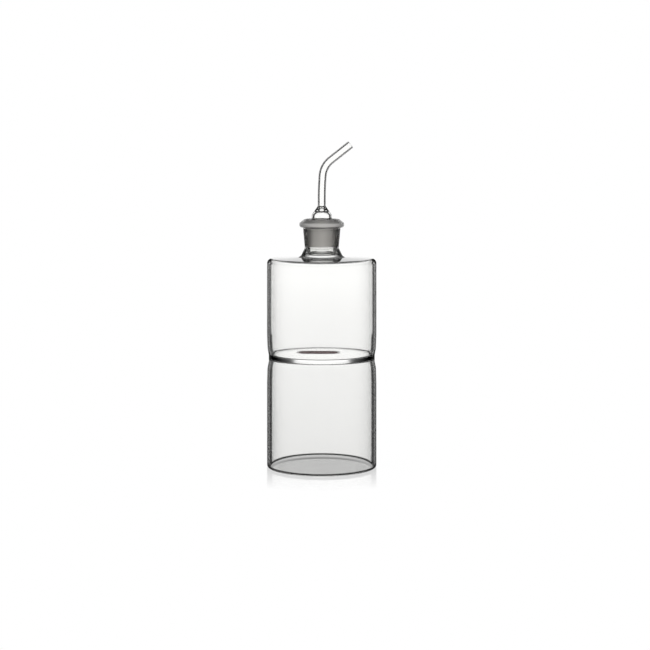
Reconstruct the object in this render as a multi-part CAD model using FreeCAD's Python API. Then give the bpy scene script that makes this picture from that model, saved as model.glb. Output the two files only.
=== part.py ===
"""Two-tier glass pouring bottle with a ground hollow stopper and a bent pouring tube.

Millimetres, +Z up. The origin is the centre of the bottom rim, on the plane the bottle stands on.
The pouring tube leans towards +X. Everything except the bent tube is turned about the Z axis.
"""

import FreeCAD, Part
import math
import os

Z_AXIS = FreeCAD.Vector(0, 0, 1)
SAME_PLACE = 1e-6
SAME_PLANE = 0.01

# Body: standard 80 mm tube with a 2.5 mm wall
BODY_RADIUS = 40.0
BODY_WALL = 2.5
BODY_BORE = BODY_RADIUS - BODY_WALL
RIM_ROUNDING = 1.15

# Waist: a shallow groove rolled into the wall where the floor of the upper chamber is fused in
WAIST_BOTTOM = 61.0
WAIST_TOP = 96.0
WAIST_RADIUS = 38.75
WAIST_BORE = WAIST_RADIUS - BODY_WALL
WAIST_LAND_BOTTOM = 76.6
WAIST_LAND_TOP = 81.6
WAIST_ROUNDING = 5.0
WAIST_BORE_ROUNDING = 1.0
FLOOR_UNDERSIDE = 79.3
FLOOR_TOP = 82.2
FLOOR_CORNER = 1.5
GROOVE_REACH = 4.8
GROOVE_LOWER_SINK = 0.28
GROOVE_LOWER_ROUNDING = 15.0
GROOVE_UPPER_SINK = 0.35
GROOVE_UPPER_ROUNDING = 10.0

# Shoulder of the upper chamber: nearly flat, rising slightly and thickening towards the neck
SHOULDER_EDGE_Z = 151.8
SHOULDER_NECK_Z = 152.9
SHOULDER_CORNER = 3.6
SHOULDER_EDGE_WALL = 1.5
SHOULDER_NECK_WALL = 2.2
SHOULDER_INNER_CORNER = 1.6
SHOULDER_OPENING = 20.4

# Ground joint: 24 mm large end, 20 mm long, 1:10 taper on the diameter
JOINT_LARGE_RADIUS = 12.0
JOINT_LENGTH = 20.0
JOINT_TAPER = 1.0 / 10.0
JOINT_SMALL_RADIUS = JOINT_LARGE_RADIUS - JOINT_LENGTH * JOINT_TAPER / 2
JOINT_CLEARANCE = 0.03
JOINT_TOP = 180.6
JOINT_BOTTOM = JOINT_TOP - JOINT_LENGTH

# Neck: outside flare, and the bell mouth below the ground cone inside
NECK_FLARE_RADIUS = 15.6
NECK_FLARE_ROUNDING = 3.6
NECK_WAIST_RADIUS = 12.4
NECK_WAIST_Z = 159.6
NECK_WAIST_ROUNDING = 3.0
NECK_TOP_RADIUS = 13.7
NECK_TOP_DROP = 0.6
NECK_TOP_ROUNDING = 0.8
NECK_BORE_END_Z = 159.0
NECK_BORE_END_ROUNDING = 2.0
NECK_BELL_RADIUS = 14.2
NECK_BELL_ROUNDING = 3.0

# Rolled lip
LIP_RADIUS = 16.4
LIP_UNDERSIDE = 175.0
LIP_UNDERSIDE_ROUNDING = 1.6
LIP_EDGE_TOP = 178.0
LIP_EDGE_ROUNDING = 1.4
LIP_LAND_RADIUS = 13.0
LIP_LAND_DROP = 0.1
LIP_LAND_ROUNDING = 1.3
LIP_MOUTH_CHAMFER = 0.25

# Stopper: hollow cone open at its lower end, flat flange
STOPPER_WALL = 1.5
STOPPER_END_Z = 154.0
STOPPER_END_BORE_ROUNDING = 0.4
STOPPER_END_ROUNDING = 1.0
FLANGE_TOP = 180.8
FLANGE_ROUNDING = 0.4
FLANGE_BORE_ROUNDING = 0.7
FLANGE_UNDERSIDE_ROUNDING = 1.5

# Dome: steep, with a thick top round the seal of the tube
DOME_SEAM_Z = 181.6
DOME_BASE_RADIUS = 7.35
DOME_CORNER_RADIUS = 7.2
DOME_CORNER_Z = 184.0
DOME_CORNER_ROUNDING = 2.4
DOME_APEX_Z = 190.2
DOME_APEX_ROUNDING = 2.5
DOME_BORE_TOP_Z = 186.0
DOME_BORE_TOP_ROUNDING = 1.0
DOME_LEDGE = 2.2
DOME_LEDGE_FALL = 0.5
DOME_LEDGE_ROUNDING = 1.2
DOME_INNER_DROP = 0.3
DOME_INNER_ROUNDING = 1.5

# Pouring tube: two bends in one plane, then a straight spout
TUBE_RADIUS = 2.88
TUBE_WALL = 1.0
TUBE_BORE = TUBE_RADIUS - TUBE_WALL
TUBE_SEAM_Z = 193.5
SLOW_BEND_Z = 195.0
SLOW_BEND_RADIUS = 250.0
SLOW_BEND_ANGLE = math.radians(4.0)
QUICK_BEND_RADIUS = 16.0
SPOUT_ANGLE = math.radians(51.7)
SPOUT_LENGTH = 18.5
TIP_ROUNDING = 0.35


def point(radius, z):
    """Point of the XZ plane."""
    return FreeCAD.Vector(radius, 0.0, z)


def rounded_outline(corners):
    """Closed wire in the XZ plane through (radius, z, rounding) corners, each rounded by an arc."""
    count = len(corners)
    edges = []
    pen = None
    first = None
    for index in range(count):
        before = point(*corners[index - 1][:2])
        corner = point(*corners[index][:2])
        after = point(*corners[(index + 1) % count][:2])
        rounding = corners[index][2]
        start = corner
        end = corner
        if rounding > 0:
            to_before = (before - corner).normalize()
            to_after = (after - corner).normalize()
            half = to_before.getAngle(to_after) / 2
            tangent = rounding / math.tan(half)
            start = corner + to_before * tangent
            end = corner + to_after * tangent
            inward = (to_before + to_after).normalize()
            middle = corner + inward * (rounding / math.sin(half) - rounding)
        if pen is None:
            first = start
        elif (start - pen).Length > SAME_PLACE:
            edges.append(Part.LineSegment(pen, start).toShape())
        if rounding > 0:
            edges.append(Part.Arc(start, middle, end).toShape())
        pen = end
    if (first - pen).Length > SAME_PLACE:
        edges.append(Part.LineSegment(pen, first).toShape())
    return Part.Wire(edges)


def turned(corners):
    """Solid of revolution about Z from an outline of (radius, z, rounding) corners."""
    face = Part.Face(rounded_outline(corners))
    return face.revolve(point(0, 0), Z_AXIS, 360)


def lower_cylinder():
    """Open-bottomed tube whose fire-polished rim keeps a narrow flat land to stand on."""
    return turned([
        (BODY_BORE, 0.0, RIM_ROUNDING),
        (BODY_RADIUS, 0.0, RIM_ROUNDING),
        (BODY_RADIUS, WAIST_BOTTOM, 0),
        (BODY_BORE, WAIST_BOTTOM, 0),
    ])


def chamber_floor():
    """Disc across the tube where its wall is rolled in to a groove, with the groove's two slopes."""
    body_axis = 0.0
    lower_slope_z = WAIST_LAND_BOTTOM - GROOVE_REACH
    upper_slope_z = WAIST_LAND_TOP + GROOVE_REACH
    return turned([
        (body_axis, FLOOR_UNDERSIDE, 0),
        (WAIST_BORE, FLOOR_UNDERSIDE, FLOOR_CORNER),
        (WAIST_BORE, WAIST_LAND_BOTTOM, WAIST_BORE_ROUNDING),
        (BODY_BORE - GROOVE_LOWER_SINK, lower_slope_z, GROOVE_LOWER_ROUNDING),
        (BODY_BORE, WAIST_BOTTOM, 0),
        (BODY_RADIUS, WAIST_BOTTOM, 0),
        (BODY_RADIUS - GROOVE_LOWER_SINK, lower_slope_z, GROOVE_LOWER_ROUNDING),
        (WAIST_RADIUS, WAIST_LAND_BOTTOM, WAIST_ROUNDING),
        (WAIST_RADIUS, WAIST_LAND_TOP, WAIST_ROUNDING),
        (BODY_RADIUS - GROOVE_UPPER_SINK, upper_slope_z, GROOVE_UPPER_ROUNDING),
        (BODY_RADIUS, WAIST_TOP, 0),
        (BODY_BORE, WAIST_TOP, 0),
        (BODY_BORE - GROOVE_UPPER_SINK, upper_slope_z, GROOVE_UPPER_ROUNDING),
        (WAIST_BORE, FLOOR_TOP, FLOOR_CORNER),
        (body_axis, FLOOR_TOP, 0),
    ])


def shoulder_top(radius):
    """Height of the shoulder's upper face, which rises in a straight line towards the neck."""
    share = (BODY_RADIUS - radius) / (BODY_RADIUS - NECK_FLARE_RADIUS)
    return SHOULDER_EDGE_Z + share * (SHOULDER_NECK_Z - SHOULDER_EDGE_Z)


def shoulder_underside(radius):
    """Height of the shoulder's lower face, from the wall of the bore to the bell of the neck."""
    at_edge = SHOULDER_EDGE_Z - SHOULDER_EDGE_WALL
    at_neck = SHOULDER_NECK_Z - SHOULDER_NECK_WALL
    share = (BODY_BORE - radius) / (BODY_BORE - NECK_BELL_RADIUS)
    return at_edge + share * (at_neck - at_edge)


def upper_cylinder():
    """Tube wall of the liquid chamber, rounded over into the shoulder with a central opening."""
    return turned([
        (BODY_BORE, WAIST_TOP, 0),
        (BODY_RADIUS, WAIST_TOP, 0),
        (BODY_RADIUS, SHOULDER_EDGE_Z, SHOULDER_CORNER),
        (SHOULDER_OPENING, shoulder_top(SHOULDER_OPENING), 0),
        (SHOULDER_OPENING, shoulder_underside(SHOULDER_OPENING), 0),
        (BODY_BORE, shoulder_underside(BODY_BORE), SHOULDER_INNER_CORNER),
    ])


def neck_socket():
    """Neck that flares onto the shoulder, with a rolled lip and a female ground cone inside."""
    mouth_radius = JOINT_LARGE_RADIUS - LIP_MOUTH_CHAMFER * JOINT_TAPER / 2
    return turned([
        (SHOULDER_OPENING, shoulder_underside(SHOULDER_OPENING), 0),
        (SHOULDER_OPENING, shoulder_top(SHOULDER_OPENING), 0),
        (NECK_FLARE_RADIUS, SHOULDER_NECK_Z, NECK_FLARE_ROUNDING),
        (NECK_WAIST_RADIUS, NECK_WAIST_Z, NECK_WAIST_ROUNDING),
        (NECK_TOP_RADIUS, LIP_UNDERSIDE - NECK_TOP_DROP, NECK_TOP_ROUNDING),
        (LIP_RADIUS, LIP_UNDERSIDE, LIP_UNDERSIDE_ROUNDING),
        (LIP_RADIUS, LIP_EDGE_TOP, LIP_EDGE_ROUNDING),
        (LIP_LAND_RADIUS, JOINT_TOP - LIP_LAND_DROP, LIP_LAND_ROUNDING),
        (JOINT_LARGE_RADIUS + LIP_MOUTH_CHAMFER, JOINT_TOP, 0),
        (mouth_radius, JOINT_TOP - LIP_MOUTH_CHAMFER, 0),
        (JOINT_SMALL_RADIUS, JOINT_BOTTOM, 0),
        (JOINT_SMALL_RADIUS, NECK_BORE_END_Z, NECK_BORE_END_ROUNDING),
        (NECK_BELL_RADIUS, shoulder_underside(NECK_BELL_RADIUS), NECK_BELL_ROUNDING),
    ])


def stopper_cone():
    """Hollow male ground cone, open and fire-polished at its lower end, with a flat flange on top."""
    large_radius = JOINT_LARGE_RADIUS - JOINT_CLEARANCE
    end_radius = large_radius - (FLANGE_TOP - STOPPER_END_Z) * JOINT_TAPER / 2
    flange_underside = FLANGE_TOP - STOPPER_WALL
    dome_bore = DOME_BASE_RADIUS - STOPPER_WALL
    return turned([
        (end_radius - STOPPER_WALL, STOPPER_END_Z, STOPPER_END_BORE_ROUNDING),
        (end_radius, STOPPER_END_Z, STOPPER_END_ROUNDING),
        (large_radius, FLANGE_TOP, FLANGE_ROUNDING),
        (DOME_BASE_RADIUS, FLANGE_TOP, FLANGE_ROUNDING),
        (DOME_BASE_RADIUS, DOME_SEAM_Z, 0),
        (dome_bore, DOME_SEAM_Z, 0),
        (dome_bore, flange_underside, FLANGE_BORE_ROUNDING),
        (large_radius - STOPPER_WALL, flange_underside, FLANGE_UNDERSIDE_ROUNDING),
    ])


def stopper_dome():
    """Steep hollow dome that narrows to the pouring tube; its wall is thick round the top seal."""
    inner_corner = DOME_CORNER_RADIUS - STOPPER_WALL
    ledge_z = DOME_BORE_TOP_Z - DOME_LEDGE_FALL
    return turned([
        (DOME_BASE_RADIUS - STOPPER_WALL, DOME_SEAM_Z, 0),
        (DOME_BASE_RADIUS, DOME_SEAM_Z, 0),
        (DOME_CORNER_RADIUS, DOME_CORNER_Z, DOME_CORNER_ROUNDING),
        (TUBE_RADIUS, DOME_APEX_Z, DOME_APEX_ROUNDING),
        (TUBE_RADIUS, TUBE_SEAM_Z, 0),
        (TUBE_BORE, TUBE_SEAM_Z, 0),
        (TUBE_BORE, DOME_BORE_TOP_Z, DOME_BORE_TOP_ROUNDING),
        (TUBE_BORE + DOME_LEDGE, ledge_z, DOME_LEDGE_ROUNDING),
        (inner_corner, DOME_CORNER_Z - DOME_INNER_DROP, DOME_INNER_ROUNDING),
    ])


def bend_places(start, lean, bend_radius, turn):
    """Middle, end and final lean of a bend that starts at a point with a lean from vertical."""
    centre = start + FreeCAD.Vector(math.cos(lean), 0, -math.sin(lean)) * bend_radius
    places = []
    for angle in (lean + turn / 2, lean + turn):
        outward = FreeCAD.Vector(-math.cos(angle), 0, math.sin(angle))
        places.append(centre + outward * bend_radius)
    return places[0], places[1], lean + turn


def tube_path():
    """Centre line: vertical, slow bend, quick bend, straight spout."""
    foot = point(0.0, TUBE_SEAM_Z)
    bend = point(0.0, SLOW_BEND_Z)
    slow_middle, slow_end, lean = bend_places(bend, 0.0, SLOW_BEND_RADIUS, SLOW_BEND_ANGLE)
    quick_turn = SPOUT_ANGLE - SLOW_BEND_ANGLE
    quick_middle, quick_end, lean = bend_places(slow_end, lean, QUICK_BEND_RADIUS, quick_turn)
    direction = FreeCAD.Vector(math.sin(lean), 0, math.cos(lean))
    tip = quick_end + direction * SPOUT_LENGTH
    edges = [
        Part.LineSegment(foot, bend).toShape(),
        Part.Arc(bend, slow_middle, slow_end).toShape(),
        Part.Arc(slow_end, quick_middle, quick_end).toShape(),
        Part.LineSegment(quick_end, tip).toShape(),
    ]
    return Part.Wire(edges), tip, direction


def swept(path, radius):
    """Solid rod of the given radius along the path."""
    circle = Part.Circle(point(0.0, TUBE_SEAM_Z), Z_AXIS, radius)
    return path.makePipeShell([Part.Wire([circle.toShape()])], True, True)


def pour_tube():
    """Bent tube, open at both ends, with a fire-polished tip."""
    path, tip, direction = tube_path()
    tube = swept(path, TUBE_RADIUS).cut(swept(path, TUBE_BORE))
    tip_edges = []
    for edge in tube.Edges:
        from_tip = (edge.CenterOfMass - tip).dot(direction)
        if abs(from_tip) < SAME_PLANE and edge.Closed:
            tip_edges.append(edge)
    return tube.makeFillet(TIP_ROUNDING, tip_edges)


NODES = {
    "lower_cylinder": lower_cylinder,
    "chamber_floor": chamber_floor,
    "upper_cylinder": upper_cylinder,
    "neck_socket": neck_socket,
    "stopper_cone": stopper_cone,
    "stopper_dome": stopper_dome,
    "pour_tube": pour_tube,
}


os.makedirs("parts", exist_ok=True)
for name, make in NODES.items():
    make().exportStep("parts/" + name + ".step")
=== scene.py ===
"""Looks of the glass pouring bottle: blown clear glass, ground joint surfaces, a white light table.

The bottle, the stopper cone and the spout are each one closed glass skin, made by carrying a ring
along a path while its radius follows an outline. Sizes in the outlines are millimetres; Blender
gets metres. The radius of the body and the heights of its rim and joins come from the CAD frame;
the other sizes are the constants below.
"""

import math

import bpy
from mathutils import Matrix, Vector


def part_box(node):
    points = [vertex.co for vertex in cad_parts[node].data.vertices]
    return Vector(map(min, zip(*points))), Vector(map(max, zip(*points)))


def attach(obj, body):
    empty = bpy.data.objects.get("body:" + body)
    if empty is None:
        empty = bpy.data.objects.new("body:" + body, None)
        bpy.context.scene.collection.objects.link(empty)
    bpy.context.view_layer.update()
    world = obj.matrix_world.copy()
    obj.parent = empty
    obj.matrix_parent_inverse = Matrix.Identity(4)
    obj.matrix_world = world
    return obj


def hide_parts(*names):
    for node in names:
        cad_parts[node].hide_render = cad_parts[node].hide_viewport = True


MM = 0.001
RING_POINTS = 256
TUBE_RING_POINTS = 96
ARC_STEP = math.radians(6.0)
SHARP_ANGLE = math.radians(40.0)
WALL_STRETCH = 3.0
TUBE_STRETCH = 0.6
ON_AXIS = 1e-6

# Glass. Each kind has a painted shade for surfaces seen at a slant, standing in for the dark edges
# where the glass bends light away from the backlight, and the cosines of the angles between which it
# fades to clear
GLASS_INDEX = 1.473
TINT_DARK = (0.965, 0.966, 0.958, 1)
TINT_LIGHT = (0.985, 0.985, 0.978, 1)
TINT_NOISE_SCALE = 25.0
TINT_NOISE_DETAIL = 2.0
EVEN_STRETCH = (1, 1, 1)
WHITE = (1, 1, 1, 1)
EDGE_PAINTED_SHADE = 0.04
EDGE_COSINES = (0.23, 0.28)
FLARE_COSINES = (0.55, 0.75)
NECK_EDGE_PAINTED_SHADE = 0.3
TUBE_EDGE_PAINTED_SHADE = 0.15
TUBE_COSINES = (0.5, 0.85)
# Painted shade on the outside of the waist band, dark at all but straight-on views
WAIST_PAINTED_SHADE = 0.3
WAIST_COSINES = (0.5, 1.0)
# Painted shade on the stopper's end face, dark at nearly every angle, so it shows as a dark double
# line through the glass
END_PAINTED_SHADE = 0.08
END_SHADE_COSINES = (0.96, 1.0)

# Painted shade: a dark streak in the chamber floor, where a seam bends light away at a slant; metres
# and colour
STREAK_MIDDLE = (-0.0025, 0.006, 0.0815)
STREAK_HALF_SIZE = (0.018, 0.012, 0.002)
STREAK_RAGGEDNESS = 0.3
STREAK_NOISE_SCALE = 160.0
STREAK_NOISE_DETAIL = 2.0
STREAK_SOFT_FROM = 0.75
STREAK_FADE_COSINES = (0.16, 0.45)
STREAK_PAINTED_SHADE = (0.014, 0.008, 0.008, 1)

# Painted shade, a dark line above the rim: its tone by share of the height of the rim band, which is
# in millimetres
RIM_BAND = 3.0
RIM_PAINTED_SHADE_LINE = ((0.2, 0.95), (0.3, 0.03), (0.55, 0.03), (0.65, 0.95))

# Ground surfaces: colour, share of light let through, roughness, marks that run round the joint
GROUND_COSINES = (0.3, 0.9)
# The lip's colour is lighter than the joint's: painted light for the bright band the bead shows. Its
# edges take painted shade; the joint's edge shade of 1 paints none
LIP_PAINTED_LIGHT_COLOUR = (1.0, 0.985, 0.96, 1)
LIP_CLEARNESS = 0.5
LIP_ROUGHNESS = (0.2, 0.3)
LIP_EDGE_PAINTED_SHADE = 0.25
GROUND_COLOUR = (0.93, 0.915, 0.895, 1)
GROUND_CLEARNESS = 0.9
GROUND_ROUGHNESS = (0.38, 0.55)
GROUND_EDGE_PAINTED_SHADE = 1.0
GROUND_NOISE_SCALE = 300.0
GROUND_NOISE_DETAIL = 6.0
GROUND_NOISE_STRETCH = (0.15, 0.15, 9.0)
GROUND_BUMP_STRENGTH = 0.3
GROUND_BUMP_DEPTH = 0.00008

# Bottle sizes, in millimetres
BODY_WALL = 2.5
RIM_ROUNDING = 1.15
WAIST_RADIUS = 38.75
WAIST_LAND_BOTTOM = 76.6
WAIST_LAND_TOP = 81.6
WAIST_ROUNDING = 5.0
WAIST_BORE_ROUNDING = 1.0
GROOVE_REACH = 4.8
GROOVE_LOWER_SINK = 0.28
GROOVE_LOWER_ROUNDING = 15.0
GROOVE_UPPER_SINK = 0.35
GROOVE_UPPER_ROUNDING = 10.0
FLOOR_UNDERSIDE = 79.3
FLOOR_TOP = 82.2
FLOOR_CORNER = 1.5
SHOULDER_EDGE_Z = 151.8
SHOULDER_NECK_Z = 152.9
SHOULDER_CORNER = 3.6
SHOULDER_EDGE_WALL = 1.5
SHOULDER_NECK_WALL = 2.2
SHOULDER_INNER_CORNER = 1.6
NECK_FLARE_RADIUS = 15.6
NECK_FLARE_ROUNDING = 3.6
NECK_WAIST_RADIUS = 12.4
NECK_WAIST_Z = 159.6
NECK_WAIST_ROUNDING = 3.0
NECK_TOP_RADIUS = 13.7
NECK_TOP_DROP = 0.6
NECK_TOP_ROUNDING = 0.8
NECK_BORE_END_Z = 159.0
NECK_BORE_END_ROUNDING = 2.0
NECK_BELL_RADIUS = 14.2
NECK_BELL_ROUNDING = 3.0
JOINT_TOP = 180.6
JOINT_LARGE_RADIUS = 12.0
JOINT_LENGTH = 20.0
JOINT_TAPER = 1.0 / 10.0
JOINT_CLEARANCE = 0.03
LIP_RADIUS = 16.4
LIP_UNDERSIDE = 175.0
LIP_UNDERSIDE_ROUNDING = 1.6
LIP_EDGE_TOP = 178.0
LIP_EDGE_ROUNDING = 1.4
LIP_LAND_RADIUS = 13.0
LIP_LAND_DROP = 0.1
LIP_LAND_ROUNDING = 1.3
LIP_MOUTH_CHAMFER = 0.25

# Stopper and spout sizes, in millimetres
STOPPER_WALL = 1.5
STOPPER_END_Z = 154.0
STOPPER_END_BAND = 0.8
STOPPER_END_ROUNDINGS = (0.4, 1.0)
STOPPER_TOP_ROUNDINGS = (0.7, 1.5)
FLANGE_TOP = 180.8
FLANGE_ROUNDING = 0.4
DOME_SEAM_Z = 181.6
DOME_BASE_RADIUS = 7.35
DOME_CORNER_RADIUS = 7.2
DOME_CORNER_Z = 184.0
DOME_CORNER_ROUNDING = 2.4
DOME_APEX_Z = 190.2
DOME_APEX_ROUNDING = 2.5
DOME_BORE_TOP_Z = 186.0
DOME_BORE_TOP_ROUNDING = 1.0
DOME_LEDGE = 2.2
DOME_LEDGE_FALL = 0.5
DOME_LEDGE_ROUNDING = 1.2
DOME_INNER_DROP = 0.3
DOME_INNER_ROUNDING = 1.5
TUBE_RADIUS = 2.88
TUBE_WALL = 1.0
TUBE_START_Z = 191.2
SLOW_BEND_Z = 195.0
SLOW_BEND_RADIUS = 250.0
SLOW_BEND_ANGLE = math.radians(4.0)
QUICK_BEND_RADIUS = 16.0
SPOUT_ANGLE = math.radians(51.7)
SPOUT_LENGTH = 18.5
TIP_ROUNDING = 0.35

# Camera, level and in front: metres, lens in millimetres, lens shift in frame widths
CAMERA_DISTANCE = 1.160
CAMERA_HEIGHT = 0.235
LENS_MM = 87.7
SENSOR_MM = 36.0
LENS_SHIFT_X = 0.005
LENS_SHIFT_Y = -0.277
STATION_WIDTH = 0.05

# Backlight: its half size is the bend, as a difference of unit vectors, at which it ends. The edge
# gives the share of light left at multiples of the half size
BOTTLE_MIDDLE = (0.0, 0.0, 0.119)
BACKLIGHT_STRENGTH = 1.2
BACKLIGHT_HALF_SIZE = 0.375
BACKLIGHT_TALLNESS = 1.8
BACKLIGHT_DROP = 0.2
BACKLIGHT_EDGE = ((0.8, 1.0), (0.95, 0.6), (1.1, 0.2), (1.3, 0.08))
BACKLIGHT_REACH = 4.0
MIRROR_NARROWING = 5.0
ROOM_LIGHT = 0.05

# Light table, in metres: through glass, painted shade and light by distance from the axis (dim under
# the bottle, a bright ring at the rim, brighter further out), and its faint mirror
TABLE_HALF_SIZE = 6.0
TABLE_DROP = 0.0002
TABLE_PAINTED_SHADE_AND_LIGHT = (
    (0.0, 0.38),
    (0.037, 0.40),
    (0.038, 1.2),
    (0.0415, 1.2),
    (0.043, 0.95),
    (0.108, 0.98),
    (0.3, 1.03),
    (0.97, 1.12),
    (1.6, 1.2),
)
TABLE_ROUGHNESS = 0.03
INSIDE_MIRROR = 0.35
INSIDE_MIRROR_ENDS = (0.041, 0.042)
OUTSIDE_MIRROR = 0.35
OUTSIDE_MIRROR_ENDS = (0.038, 0.085)

LIGHT_BOUNCES = 32
GLOSSY_BOUNCES = 16


# ---------------------------------------------------------------- outlines and skins


def corner_arc(before, corner, after, rounding):
    """Points of the arc that rounds one corner of an outline; all points are (radius, height)."""
    to_before = (before - corner).normalized()
    to_after = (after - corner).normalized()
    half = to_before.angle(to_after) / 2
    inward = (to_before + to_after).normalized()
    centre = corner + inward * (rounding / math.sin(half))
    start = corner + to_before * (rounding / math.tan(half))
    turn = math.pi - 2 * half
    steps = max(2, math.ceil(turn / ARC_STEP))
    arm = start - centre
    sign = 1 if arm.x * to_before.y - arm.y * to_before.x < 0 else -1
    points = []
    for step in range(steps + 1):
        angle = sign * turn * step / steps
        turned_arm = Vector((
            arm.x * math.cos(angle) - arm.y * math.sin(angle),
            arm.x * math.sin(angle) + arm.y * math.cos(angle),
        ))
        points.append(centre + turned_arm)
    return points


def rounded_outline(corners, closed):
    """Outline points and, for each point, the surface that the stretch after it has.

    A corner is (radius, height, rounding, surface); the surface runs from it to the next corner.
    """
    count = len(corners)
    points = []
    surfaces = []
    for index, (radius, height, rounding, surface) in enumerate(corners):
        corner = Vector((radius, height))
        if rounding > 0:
            before = Vector(corners[index - 1][:2])
            after = Vector(corners[(index + 1) % count][:2])
            arc = corner_arc(before, corner, after, rounding)
        else:
            arc = [corner]
        points += arc
        surfaces += [surface] * len(arc)
    if closed:
        points.append(points[0])
        surfaces.append(surfaces[0])
    return points, surfaces


def subdivided(points, surfaces, longest):
    """The same outline with no stretch longer than the given length."""
    new_points = [points[0]]
    new_surfaces = []
    for start, end, surface in zip(points, points[1:], surfaces):
        pieces = max(1, math.ceil((end - start).length / longest))
        for piece in range(1, pieces + 1):
            new_points.append(start.lerp(end, piece / pieces))
            new_surfaces.append(surface)
    return new_points, new_surfaces


def straight_up(height):
    """Path of a body of revolution: centre of the ring and its lean from vertical."""
    return Vector((0.0, 0.0, height)), 0.0


def rings_along(points, path, ring_points):
    """Vertices of all rings and, for each ring, its vertex numbers; on the axis it is one vertex."""
    vertices = []
    rings = []
    for point in points:
        centre, lean = path(point.y)
        first = len(vertices)
        if point.x < ON_AXIS:
            rings.append([first] * ring_points)
            vertices.append(centre * MM)
            continue
        rings.append(list(range(first, first + ring_points)))
        across = Vector((math.cos(lean), 0.0, -math.sin(lean)))
        for step in range(ring_points):
            angle = math.tau * step / ring_points
            arm = across * math.cos(angle) + Vector((0, math.sin(angle), 0))
            vertices.append((centre + arm * point.x) * MM)
    return vertices, rings


def faces_between(lower, upper):
    """Faces between two rings: four-sided ones, or triangles where one ring is a single vertex."""
    count = len(lower)
    faces = []
    for step in range(count):
        after = (step + 1) % count
        face = [lower[step], lower[after], upper[after], upper[step]]
        faces.append(list(dict.fromkeys(face)))
    return faces


def glass_skin(name, corners, closed, path, ring_points, longest, materials):
    """Closed mesh: a ring carried along the path, its radius and place set by the outline."""
    points, surfaces = rounded_outline(corners, closed)
    points, surfaces = subdivided(points, surfaces, longest)
    if closed:
        points = points[:-1]
    vertices, rings = rings_along(points, path, ring_points)
    next_rings = rings[1:]
    if closed:
        next_rings.append(rings[0])
    names = list(materials)
    faces = []
    face_materials = []
    for lower, upper, surface in zip(rings, next_rings, surfaces):
        band = faces_between(lower, upper)
        faces += band
        face_materials += [names.index(surface)] * len(band)
    mesh = bpy.data.meshes.new(name)
    mesh.from_pydata(vertices, [], faces)
    for material in materials.values():
        mesh.materials.append(material)
    mesh.polygons.foreach_set("material_index", face_materials)
    mesh.polygons.foreach_set("use_smooth", [True] * len(faces))
    mesh.set_sharp_from_angle(angle=SHARP_ANGLE)
    mesh.validate()
    piece = bpy.data.objects.new(name, mesh)
    bpy.context.scene.collection.objects.link(piece)
    return piece


# ---------------------------------------------------------------- pieces


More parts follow.
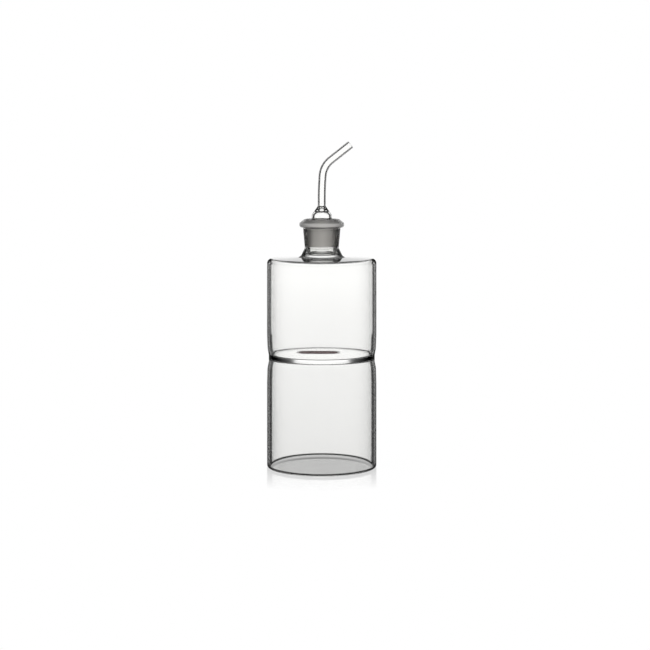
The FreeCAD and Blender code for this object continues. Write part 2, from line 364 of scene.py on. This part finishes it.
def bottle_outline():
    """From the centre of the floor's underside, out and round the whole bottle, to its top side."""
    rim, lower_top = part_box("lower_cylinder")
    body = lower_top.y / MM
    rim_z = rim.z / MM
    waist_bottom = lower_top.z / MM
    waist_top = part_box("upper_cylinder")[0].z / MM
    bore = body - BODY_WALL
    waist_bore = WAIST_RADIUS - BODY_WALL
    lower_groove_z = WAIST_LAND_BOTTOM - GROOVE_REACH
    upper_groove_z = WAIST_LAND_TOP + GROOVE_REACH
    joint_bottom = JOINT_TOP - JOINT_LENGTH
    joint_small = JOINT_LARGE_RADIUS - JOINT_LENGTH * JOINT_TAPER / 2
    mouth = JOINT_LARGE_RADIUS + LIP_MOUTH_CHAMFER
    below_mouth = JOINT_LARGE_RADIUS - LIP_MOUTH_CHAMFER * JOINT_TAPER / 2
    return [
        (0.0, FLOOR_UNDERSIDE, 0, "floor"),
        (waist_bore, FLOOR_UNDERSIDE, FLOOR_CORNER, "floor"),
        (waist_bore, WAIST_LAND_BOTTOM, WAIST_BORE_ROUNDING, "clear"),
        (bore - GROOVE_LOWER_SINK, lower_groove_z, GROOVE_LOWER_ROUNDING, "clear"),
        (bore, waist_bottom, 0, "clear"),
        (bore, rim_z + RIM_BAND, 0, "rim"),
        (bore, rim_z, RIM_ROUNDING, "rim"),
        (body, rim_z, RIM_ROUNDING, "rim"),
        (body, rim_z + RIM_BAND, 0, "clear"),
        (body, waist_bottom, 0, "clear"),
        (body - GROOVE_LOWER_SINK, lower_groove_z, GROOVE_LOWER_ROUNDING, "clear"),
        (WAIST_RADIUS, WAIST_LAND_BOTTOM, WAIST_ROUNDING, "clear"),
        (WAIST_RADIUS, FLOOR_UNDERSIDE, 0, "waist"),
        (WAIST_RADIUS, WAIST_LAND_TOP, WAIST_ROUNDING, "clear"),
        (body - GROOVE_UPPER_SINK, upper_groove_z, GROOVE_UPPER_ROUNDING, "clear"),
        (body, waist_top, 0, "clear"),
        (body, SHOULDER_EDGE_Z, SHOULDER_CORNER, "clear"),
        (NECK_FLARE_RADIUS, SHOULDER_NECK_Z, NECK_FLARE_ROUNDING, "flare"),
        (NECK_WAIST_RADIUS, NECK_WAIST_Z, NECK_WAIST_ROUNDING, "neck"),
        (NECK_TOP_RADIUS, LIP_UNDERSIDE - NECK_TOP_DROP, NECK_TOP_ROUNDING, "lip"),
        (LIP_RADIUS, LIP_UNDERSIDE, LIP_UNDERSIDE_ROUNDING, "lip"),
        (LIP_RADIUS, LIP_EDGE_TOP, LIP_EDGE_ROUNDING, "lip"),
        (LIP_LAND_RADIUS, JOINT_TOP - LIP_LAND_DROP, LIP_LAND_ROUNDING, "ground"),
        (mouth, JOINT_TOP, 0, "ground"),
        (below_mouth, JOINT_TOP - LIP_MOUTH_CHAMFER, 0, "ground"),
        (joint_small, joint_bottom, 0, "clear"),
        (joint_small, NECK_BORE_END_Z, NECK_BORE_END_ROUNDING, "floor"),
        (NECK_BELL_RADIUS, SHOULDER_NECK_Z - SHOULDER_NECK_WALL, NECK_BELL_ROUNDING, "floor"),
        (bore, SHOULDER_EDGE_Z - SHOULDER_EDGE_WALL, SHOULDER_INNER_CORNER, "floor"),
        (bore, waist_top, 0, "clear"),
        (bore - GROOVE_UPPER_SINK, upper_groove_z, GROOVE_UPPER_ROUNDING, "clear"),
        (waist_bore, FLOOR_TOP, FLOOR_CORNER, "floor"),
        (0.0, FLOOR_TOP, 0, "clear"),
    ]


def stopper_outline():
    """Closed outline of the hollow stopper cone, open at its lower end."""
    joint_bottom = JOINT_TOP - JOINT_LENGTH
    large = JOINT_LARGE_RADIUS - JOINT_CLEARANCE
    small = large - (FLANGE_TOP - joint_bottom) * JOINT_TAPER / 2
    end = large - (FLANGE_TOP - STOPPER_END_Z) * JOINT_TAPER / 2
    end_band = end + STOPPER_END_BAND * JOINT_TAPER / 2
    inside = FLANGE_TOP - STOPPER_WALL
    dome_bore = DOME_BASE_RADIUS - STOPPER_WALL
    return [
        (end - STOPPER_WALL, STOPPER_END_Z, STOPPER_END_ROUNDINGS[0], "end"),
        (end, STOPPER_END_Z, STOPPER_END_ROUNDINGS[1], "end"),
        (end_band, STOPPER_END_Z + STOPPER_END_BAND, 0, "clear"),
        (small, joint_bottom, 0, "ground"),
        (large, FLANGE_TOP, FLANGE_ROUNDING, "ground"),
        (DOME_BASE_RADIUS, FLANGE_TOP, FLANGE_ROUNDING, "clear"),
        (DOME_BASE_RADIUS, DOME_SEAM_Z, 0, "clear"),
        (dome_bore, DOME_SEAM_Z, 0, "clear"),
        (dome_bore, inside, STOPPER_TOP_ROUNDINGS[0], "clear"),
        (large - STOPPER_WALL, inside, STOPPER_TOP_ROUNDINGS[1], "clear"),
    ]


def spout_outline():
    """Closed outline of dome and tube; above the bends its height is length along the tube."""
    slow_length = SLOW_BEND_RADIUS * SLOW_BEND_ANGLE
    quick_length = QUICK_BEND_RADIUS * (SPOUT_ANGLE - SLOW_BEND_ANGLE)
    tip = SLOW_BEND_Z + slow_length + quick_length + SPOUT_LENGTH
    bore = TUBE_RADIUS - TUBE_WALL
    inner_corner = DOME_CORNER_RADIUS - STOPPER_WALL
    ledge_z = DOME_BORE_TOP_Z - DOME_LEDGE_FALL
    return [
        (DOME_BASE_RADIUS - STOPPER_WALL, DOME_SEAM_Z, 0, "clear"),
        (DOME_BASE_RADIUS, DOME_SEAM_Z, 0, "clear"),
        (DOME_CORNER_RADIUS, DOME_CORNER_Z, DOME_CORNER_ROUNDING, "clear"),
        (TUBE_RADIUS, DOME_APEX_Z, DOME_APEX_ROUNDING, "clear"),
        (TUBE_RADIUS, TUBE_START_Z, 0, "tube"),
        (TUBE_RADIUS, tip, TIP_ROUNDING, "tube"),
        (bore, tip, TIP_ROUNDING, "clear"),
        (bore, DOME_BORE_TOP_Z, DOME_BORE_TOP_ROUNDING, "clear"),
        (bore + DOME_LEDGE, ledge_z, DOME_LEDGE_ROUNDING, "clear"),
        (inner_corner, DOME_CORNER_Z - DOME_INNER_DROP, DOME_INNER_ROUNDING, "clear"),
    ]


def bent_tube(along):
    """Path of the pouring tube: vertical, slow bend, quick bend, straight spout."""
    length = along - SLOW_BEND_Z
    place = Vector((0.0, 0.0, min(along, SLOW_BEND_Z)))
    lean = 0.0
    bends = ((SLOW_BEND_RADIUS, SLOW_BEND_ANGLE), (QUICK_BEND_RADIUS, SPOUT_ANGLE - SLOW_BEND_ANGLE))
    for bend_radius, whole_turn in bends:
        if length <= 0:
            return place, lean
        turn = min(length / bend_radius, whole_turn)
        place.x += bend_radius * (math.cos(lean) - math.cos(lean + turn))
        place.z += bend_radius * (math.sin(lean + turn) - math.sin(lean))
        lean += turn
        length -= bend_radius * turn
    if length > 0:
        place += Vector((math.sin(lean), 0.0, math.cos(lean))) * length
    return place, lean


# ---------------------------------------------------------------- materials


def new_material(name):
    """Glass material with its nodes, links and shader."""
    material = bpy.data.materials.new(name)
    material.use_nodes = True
    nodes = material.node_tree.nodes
    links = material.node_tree.links
    shader = nodes["Principled BSDF"]
    shader.inputs["IOR"].default_value = GLASS_INDEX
    return material, nodes, links, shader


def object_noise(nodes, links, scale, detail, stretch):
    """Noise in the piece's own metres, stretched along the axes."""
    place = nodes.new("ShaderNodeTexCoord")
    mapping = nodes.new("ShaderNodeMapping")
    mapping.inputs["Scale"].default_value = stretch
    noise = nodes.new("ShaderNodeTexNoise")
    noise.inputs["Scale"].default_value = scale
    noise.inputs["Detail"].default_value = detail
    links.new(place.outputs["Object"], mapping.inputs["Vector"])
    links.new(mapping.outputs["Vector"], noise.inputs["Vector"])
    return noise.outputs["Fac"]


def multiplied(nodes, links, first, second):
    """Product of two colours."""
    product = nodes.new("ShaderNodeMix")
    product.data_type = "RGBA"
    product.blend_type = "MULTIPLY"
    product.inputs["Factor"].default_value = 1.0
    links.new(first, product.inputs["A"])
    links.new(second, product.inputs["B"])
    return product.outputs["Result"]


def calculated(nodes, links, operation, first, second):
    """Result of one arithmetic step; an operand is a node's output or a number."""
    step = nodes.new("ShaderNodeMath")
    step.operation = operation
    for socket, value in zip(step.inputs, (first, second)):
        if hasattr(value, "links"):
            links.new(value, socket)
        else:
            socket.default_value = value
    return step.outputs["Value"]


def ranged(nodes, links, value, ends, results):
    """Value carried in a straight line from one pair of ends to another, and held outside them."""
    mapped = nodes.new("ShaderNodeMapRange")
    mapped.inputs["From Min"].default_value = ends[0]
    mapped.inputs["From Max"].default_value = ends[1]
    mapped.inputs["To Min"].default_value = results[0]
    mapped.inputs["To Max"].default_value = results[1]
    links.new(value, mapped.inputs["Value"])
    return mapped.outputs["Result"]


def vector_result(nodes, links, operation, first, second):
    """Result of one vector step on two vectors; the second is a node's output or three numbers."""
    step = nodes.new("ShaderNodeVectorMath")
    step.operation = operation
    links.new(first, step.inputs[0])
    if hasattr(second, "links"):
        links.new(second, step.inputs[1])
    else:
        step.inputs[1].default_value = second
    return step.outputs["Vector"]


def length_of(nodes, links, vector):
    """Length of a vector."""
    length = nodes.new("ShaderNodeVectorMath")
    length.operation = "LENGTH"
    links.new(vector, length.inputs[0])
    return length.outputs["Value"]


def slant_painted_shade(nodes, links, painted_edge_shade, edge_cosines):
    """Painted shade factor: white for surfaces seen straight on, the painted edge shade for those seen
    at a slant.
    """
    slant = nodes.new("ShaderNodeLayerWeight")
    edge = nodes.new("ShaderNodeValToRGB")
    edge.color_ramp.elements[0].position = 1.0 - edge_cosines[1]
    edge.color_ramp.elements[0].color = WHITE
    edge.color_ramp.elements[1].position = 1.0 - edge_cosines[0]
    edge.color_ramp.elements[1].color = (painted_edge_shade, painted_edge_shade, painted_edge_shade, 1)
    links.new(slant.outputs["Facing"], edge.inputs["Fac"])
    return edge.outputs["Color"]


def clear_glass(name, painted_edge_shade, edge_cosines):
    """Clear glass with a slightly uneven tint, and painted shade where the surface is seen at a slant.
    """
    material, nodes, links, shader = new_material(name)
    shader.inputs["Transmission Weight"].default_value = 1.0
    shader.inputs["Roughness"].default_value = 0.0
    tint = nodes.new("ShaderNodeValToRGB")
    tint.color_ramp.elements[0].color = TINT_DARK
    tint.color_ramp.elements[1].color = TINT_LIGHT
    noise = object_noise(nodes, links, TINT_NOISE_SCALE, TINT_NOISE_DETAIL, EVEN_STRETCH)
    links.new(noise, tint.inputs["Fac"])
    # painted shade at a slant, multiplied into the uneven tint
    edge = slant_painted_shade(nodes, links, painted_edge_shade, edge_cosines)
    colour = multiplied(nodes, links, tint.outputs["Color"], edge)
    links.new(colour, shader.inputs["Base Color"])
    return material


def streak_distance(nodes, links):
    """Distance from the middle of the streak, in its half sizes, to the shape of a rounded box."""
    place = nodes.new("ShaderNodeTexCoord").outputs["Object"]
    spread = vector_result(nodes, links, "SUBTRACT", place, STREAK_MIDDLE)
    scaled = vector_result(nodes, links, "DIVIDE", spread, STREAK_HALF_SIZE)
    squared = vector_result(nodes, links, "MULTIPLY", scaled, scaled)
    return length_of(nodes, links, squared)


def floor_glass():
    """Clear glass with painted shade: a dark streak in the chamber floor, where a seam bends light.

    The streak shows dark and without a mirror at a slant and fades when seen more from above.
    """
    material = clear_glass("floor_glass", 1.0, EDGE_COSINES)
    nodes = material.node_tree.nodes
    links = material.node_tree.links
    shader = nodes["Principled BSDF"]
    noise = object_noise(nodes, links, STREAK_NOISE_SCALE, STREAK_NOISE_DETAIL, EVEN_STRETCH)
    ragged = calculated(nodes, links, "MULTIPLY", noise, STREAK_RAGGEDNESS)
    outline = calculated(nodes, links, "ADD", ragged, streak_distance(nodes, links))
    slant = nodes.new("ShaderNodeLayerWeight").outputs["Facing"]
    fading_ends = (1.0 - STREAK_FADE_COSINES[1], 1.0 - STREAK_FADE_COSINES[0])
    fade = ranged(nodes, links, slant, fading_ends, (1.0, 0.0))
    edge = calculated(nodes, links, "ADD", outline, fade)
    # painted shade of the streak; where it is dark, the index falls to 1 so it loses its reflection
    painted_streak_shade = nodes.new("ShaderNodeValToRGB")
    painted_streak_shade.color_ramp.elements[0].position = STREAK_SOFT_FROM
    painted_streak_shade.color_ramp.elements[0].color = STREAK_PAINTED_SHADE
    painted_streak_shade.color_ramp.elements[1].position = 1.0
    painted_streak_shade.color_ramp.elements[1].color = WHITE
    links.new(edge, painted_streak_shade.inputs["Fac"])
    plain = shader.inputs["Base Color"].links[0].from_socket
    links.new(multiplied(nodes, links, plain, painted_streak_shade.outputs["Color"]), shader.inputs["Base Color"])
    index = ranged(nodes, links, painted_streak_shade.outputs["Color"], (0.0, 1.0), (1.0, GLASS_INDEX))
    links.new(index, shader.inputs["IOR"])
    return material


def rim_glass():
    """Clear glass with painted shade: a dark line just above the contact line of the fire-polished
    edge.
    """
    material = clear_glass("rim_glass", EDGE_PAINTED_SHADE, EDGE_COSINES)
    nodes = material.node_tree.nodes
    links = material.node_tree.links
    shader = nodes["Principled BSDF"]
    geometry = nodes.new("ShaderNodeNewGeometry")
    place = nodes.new("ShaderNodeSeparateXYZ")
    links.new(geometry.outputs["Position"], place.inputs[0])
    height = ranged(nodes, links, place.outputs["Z"], (0.0, RIM_BAND * MM), (0.0, 1.0))
    # painted shade: a dark line across the rim band
    band = nodes.new("ShaderNodeValToRGB")
    band.color_ramp.elements[0].color = WHITE
    band.color_ramp.elements[1].color = WHITE
    for share, tone in RIM_PAINTED_SHADE_LINE:
        stop = band.color_ramp.elements.new(share)
        stop.color = (tone, tone, tone, 1)
    links.new(height, band.inputs["Fac"])
    plain = shader.inputs["Base Color"].links[0].from_socket
    links.new(multiplied(nodes, links, plain, band.outputs["Color"]), shader.inputs["Base Color"])
    return material


def ground_glass(name, colour, clearness, roughness, painted_edge_shade):
    """Ground glass: a fine scattering surface with grinding marks that run round the joint, and
    painted shade where it is seen at a slant.
    """
    material, nodes, links, shader = new_material(name)
    shader.inputs["Transmission Weight"].default_value = clearness
    plain = nodes.new("ShaderNodeRGB").outputs["Color"]
    plain.default_value = colour
    # painted shade at a slant, multiplied into the colour
    edge = slant_painted_shade(nodes, links, painted_edge_shade, GROUND_COSINES)
    links.new(multiplied(nodes, links, plain, edge), shader.inputs["Base Color"])
    marks = object_noise(
        nodes, links, GROUND_NOISE_SCALE, GROUND_NOISE_DETAIL, GROUND_NOISE_STRETCH
    )
    rough = ranged(nodes, links, marks, (0.0, 1.0), roughness)
    links.new(rough, shader.inputs["Roughness"])
    bump = nodes.new("ShaderNodeBump")
    bump.inputs["Strength"].default_value = GROUND_BUMP_STRENGTH
    bump.inputs["Distance"].default_value = GROUND_BUMP_DEPTH
    links.new(marks, bump.inputs["Height"])
    links.new(bump.outputs["Normal"], shader.inputs["Normal"])
    return material


# ---------------------------------------------------------------- stage


def ray_is_from_camera(nodes):
    """1 for rays that come straight from the camera, 0 for all others."""
    return nodes.new("ShaderNodeLightPath").outputs["Is Camera Ray"]


def camera_space(nodes, links, source, kind):
    """A world vector or point in the camera's space, as a unit vector."""
    turn = nodes.new("ShaderNodeVectorTransform")
    turn.vector_type = kind
    turn.convert_from = "WORLD"
    turn.convert_to = "CAMERA"
    if hasattr(source, "links"):
        links.new(source, turn.inputs["Vector"])
    else:
        turn.inputs["Vector"].default_value = source
    unit = nodes.new("ShaderNodeVectorMath")
    unit.operation = "NORMALIZE"
    links.new(turn.outputs["Vector"], unit.inputs[0])
    return unit.outputs["Vector"]


def sideways_weight(nodes, links):
    """Weight of a sideways bend: 1 through glass, more off a sharp mirror, none off a rough one."""
    path = nodes.new("ShaderNodeLightPath")
    mirror = calculated(nodes, links, "MULTIPLY", path.outputs["Is Singular Ray"], MIRROR_NARROWING)
    weight = nodes.new("ShaderNodeMix")
    weight.inputs["A"].default_value = 1.0
    links.new(path.outputs["Is Reflection Ray"], weight.inputs["Factor"])
    links.new(mirror, weight.inputs["B"])
    return weight.outputs["Result"]


def backlight_share(nodes, links, ray_direction, sign):
    """How much of the backlight a ray meets: all of it straight ahead, little once glass has bent it.

    The backlight stands behind the bottle as seen by the camera, so the edges of the glass show
    dark from every side. ray_direction times sign points along the ray.
    """
    ahead = camera_space(nodes, links, BOTTLE_MIDDLE, "POINT")
    ray = camera_space(nodes, links, ray_direction, "VECTOR")
    along = vector_result(nodes, links, "MULTIPLY", ray, (sign, sign, sign))
    bend = vector_result(nodes, links, "SUBTRACT", along, ahead)
    lowered = vector_result(nodes, links, "MULTIPLY", bend, (1.0, BACKLIGHT_DROP, 1.0))
    raised = vector_result(nodes, links, "MAXIMUM", bend, lowered)
    sideways = sideways_weight(nodes, links)
    weights = nodes.new("ShaderNodeCombineXYZ")
    weights.inputs["Y"].default_value = 1.0 / BACKLIGHT_TALLNESS
    links.new(sideways, weights.inputs["X"])
    links.new(sideways, weights.inputs["Z"])
    weighted = vector_result(nodes, links, "MULTIPLY", raised, weights.outputs["Vector"])
    distance = length_of(nodes, links, weighted)
    reach = BACKLIGHT_REACH * BACKLIGHT_HALF_SIZE
    falloff = nodes.new("ShaderNodeFloatCurve")
    curve = falloff.mapping.curves[0]
    curve.points[0].location = (0.0, 1.0)
    curve.points[1].location = (1.0, ROOM_LIGHT)
    for multiple, share in BACKLIGHT_EDGE:
        curve.points.new(multiple / BACKLIGHT_REACH, share)
    falloff.mapping.update()
    links.new(ranged(nodes, links, distance, (0.0, reach), (0.0, 1.0)), falloff.inputs["Value"])
    return falloff.outputs["Value"]


def studio_light():
    """White all round for the camera; for rays that glass has bent, a backlight in a dim room."""
    world = bpy.data.worlds.new("studio")
    bpy.context.scene.world = world
    world.use_nodes = True
    nodes = world.node_tree.nodes
    links = world.node_tree.links
    background = nodes["Background"]
    direction = nodes.new("ShaderNodeTexCoord").outputs["Generated"]
    share = backlight_share(nodes, links, direction, 1.0)
    mix = nodes.new("ShaderNodeMix")
    mix.inputs["B"].default_value = 1.0
    links.new(ray_is_from_camera(nodes), mix.inputs["Factor"])
    links.new(calculated(nodes, links, "MULTIPLY", share, BACKLIGHT_STRENGTH), mix.inputs["A"])
    background.inputs["Color"].default_value = WHITE
    links.new(mix.outputs["Result"], background.inputs["Strength"])


def blended(nodes, links, share, first, second):
    """Blend of two shaders: the first at share 0, the second at share 1."""
    mix = nodes.new("ShaderNodeMixShader")
    links.new(share, mix.inputs["Fac"])
    links.new(first, mix.inputs[1])
    links.new(second, mix.inputs[2])
    return mix.outputs["Shader"]


def table_painted_shade_and_light(nodes, links, radius):
    """Painted shade and light on the table through glass, as a share of its brightest tone."""
    reach, brightest = TABLE_PAINTED_SHADE_AND_LIGHT[-1]
    tone = nodes.new("ShaderNodeFloatCurve")
    curve = tone.mapping.curves[0]
    curve.points[0].location = (0.0, TABLE_PAINTED_SHADE_AND_LIGHT[0][1] / brightest)
    curve.points[1].location = (1.0, 1.0)
    for distance, shade in TABLE_PAINTED_SHADE_AND_LIGHT[1:-1]:
        point = curve.points.new(distance / reach, shade / brightest)
        point.handle_type = "VECTOR"
    tone.mapping.update()
    links.new(ranged(nodes, links, radius, (0.0, reach), (0.0, 1.0)), tone.inputs["Value"])
    return tone.outputs["Value"]


def table_material():
    """White with a faint mirror for the camera; through glass, painted shade and light by distance
    from the axis.
    """
    material = bpy.data.materials.new("light_table")
    material.use_nodes = True
    nodes = material.node_tree.nodes
    links = material.node_tree.links
    nodes.clear()
    place = nodes.new("ShaderNodeTexCoord")
    radius = length_of(nodes, links, place.outputs["Object"])
    incoming = nodes.new("ShaderNodeNewGeometry").outputs["Incoming"]
    share = backlight_share(nodes, links, incoming, -1.0)
    # painted shade and light on the table seen through glass, dim under the bottle and bright at its
    # rim
    glow = calculated(nodes, links, "MULTIPLY", table_painted_shade_and_light(nodes, links, radius), share)
    lit = nodes.new("ShaderNodeEmission")
    links.new(calculated(nodes, links, "MULTIPLY", glow, TABLE_PAINTED_SHADE_AND_LIGHT[-1][1]), lit.inputs["Strength"])
    white = nodes.new("ShaderNodeEmission")
    mirror = nodes.new("ShaderNodeBsdfGlossy")
    mirror.inputs["Roughness"].default_value = TABLE_ROUGHNESS
    inside = ranged(nodes, links, radius, INSIDE_MIRROR_ENDS, (INSIDE_MIRROR, 0.0))
    outside = ranged(nodes, links, radius, OUTSIDE_MIRROR_ENDS, (OUTSIDE_MIRROR, 0.0))
    through_glass = blended(nodes, links, inside, lit.outputs["Emission"], mirror.outputs["BSDF"])
    direct = blended(nodes, links, outside, white.outputs["Emission"], mirror.outputs["BSDF"])
    surface = blended(nodes, links, ray_is_from_camera(nodes), through_glass, direct)
    output = nodes.new("ShaderNodeOutputMaterial")
    links.new(surface, output.inputs["Surface"])
    return material


def light_table():
    """The white floor that the bottle stands on."""
    size = TABLE_HALF_SIZE
    mesh = bpy.data.meshes.new("light_table")
    corners = [(-size, -size, 0), (size, -size, 0), (size, size, 0), (-size, size, 0)]
    mesh.from_pydata(corners, [], [(0, 1, 2, 3)])
    mesh.materials.append(table_material())
    table = bpy.data.objects.new("light_table", mesh)
    table.location.z = -TABLE_DROP
    bpy.context.scene.collection.objects.link(table)


def photo_camera():
    """Level camera in front. Its lens is shifted down only while it stands at this station."""
    data = bpy.data.cameras.new("camera")
    data.lens = LENS_MM
    data.sensor_width = SENSOR_MM
    camera = bpy.data.objects.new("camera", data)
    camera.location = (0.0, -CAMERA_DISTANCE, CAMERA_HEIGHT)
    camera.rotation_euler = (math.pi / 2, 0.0, 0.0)
    bpy.context.scene.collection.objects.link(camera)
    bpy.context.scene.camera = camera
    for channel, shift in (("shift_x", LENS_SHIFT_X), ("shift_y", LENS_SHIFT_Y)):
        curve = data.driver_add(channel)
        curve.driver.type = "AVERAGE"
        station = curve.driver.variables.new()
        station.type = "TRANSFORMS"
        station.targets[0].id = camera
        station.targets[0].transform_type = "LOC_Y"
        for modifier in list(curve.modifiers):
            curve.modifiers.remove(modifier)
        for offset, value in ((-STATION_WIDTH, 0.0), (0.0, shift), (STATION_WIDTH, 0.0)):
            key = curve.keyframe_points.insert(offset - CAMERA_DISTANCE, value)
            key.interpolation = "LINEAR"


# ---------------------------------------------------------------- scene


def glass_materials():
    """Materials by the names that the outlines use for their surfaces."""
    return {
        # The tone and cosines given to each clear glass are its painted shade at a slant
        "clear": clear_glass("clear_glass", EDGE_PAINTED_SHADE, EDGE_COSINES),
        "flare": clear_glass("flare_glass", EDGE_PAINTED_SHADE, FLARE_COSINES),
        "tube": clear_glass("tube_glass", TUBE_EDGE_PAINTED_SHADE, TUBE_COSINES),
        "neck": clear_glass("neck_glass", NECK_EDGE_PAINTED_SHADE, EDGE_COSINES),
        # painted shade on the stopper's end face
        "end": clear_glass("end_painted_shade_glass", END_PAINTED_SHADE, END_SHADE_COSINES),
        # painted shade on the waist band
        "waist": clear_glass("waist_glass", WAIST_PAINTED_SHADE, WAIST_COSINES),
        "rim": rim_glass(),
        "floor": floor_glass(),
        # the lip is lighter with painted light, and darker at its edges with painted shade
        "lip": ground_glass(
            "lip_glass", LIP_PAINTED_LIGHT_COLOUR, LIP_CLEARNESS, LIP_ROUGHNESS, LIP_EDGE_PAINTED_SHADE
        ),
        "ground": ground_glass(
            "ground_glass", GROUND_COLOUR, GROUND_CLEARNESS, GROUND_ROUGHNESS, GROUND_EDGE_PAINTED_SHADE
        ),
    }


def add_bottle(glass):
    """The bottle: all four fused pieces as one skin."""
    outline = bottle_outline()
    bottle = glass_skin("bottle_glass", outline, False, straight_up, RING_POINTS, WALL_STRETCH, glass)
    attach(bottle, "bottle")
    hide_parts("lower_cylinder", "chamber_floor", "upper_cylinder", "neck_socket")


def add_stopper(glass):
    """The hollow cone of the stopper."""
    outline = stopper_outline()
    stopper = glass_skin("stopper_glass", outline, True, straight_up, RING_POINTS, WALL_STRETCH, glass)
    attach(stopper, "stopper")
    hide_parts("stopper_cone")


def add_spout(glass):
    """The dome and the pouring tube as one skin."""
    outline = spout_outline()
    spout = glass_skin("spout_glass", outline, True, bent_tube, TUBE_RING_POINTS, TUBE_STRETCH, glass)
    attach(spout, "spout")
    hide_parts("stopper_dome", "pour_tube")


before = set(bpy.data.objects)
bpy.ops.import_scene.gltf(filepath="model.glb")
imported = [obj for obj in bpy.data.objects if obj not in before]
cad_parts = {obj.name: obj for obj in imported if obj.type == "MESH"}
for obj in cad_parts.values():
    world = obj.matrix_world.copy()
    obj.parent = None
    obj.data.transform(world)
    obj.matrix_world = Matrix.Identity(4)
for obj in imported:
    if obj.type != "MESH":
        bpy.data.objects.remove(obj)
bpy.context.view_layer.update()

glass = glass_materials()
add_bottle(glass)
add_stopper(glass)
add_spout(glass)
studio_light()
light_table()
photo_camera()

scene = bpy.context.scene
scene.view_settings.view_transform = "Standard"
scene.cycles.max_bounces = LIGHT_BOUNCES
scene.cycles.transmission_bounces = LIGHT_BOUNCES
scene.cycles.glossy_bounces = GLOSSY_BOUNCES
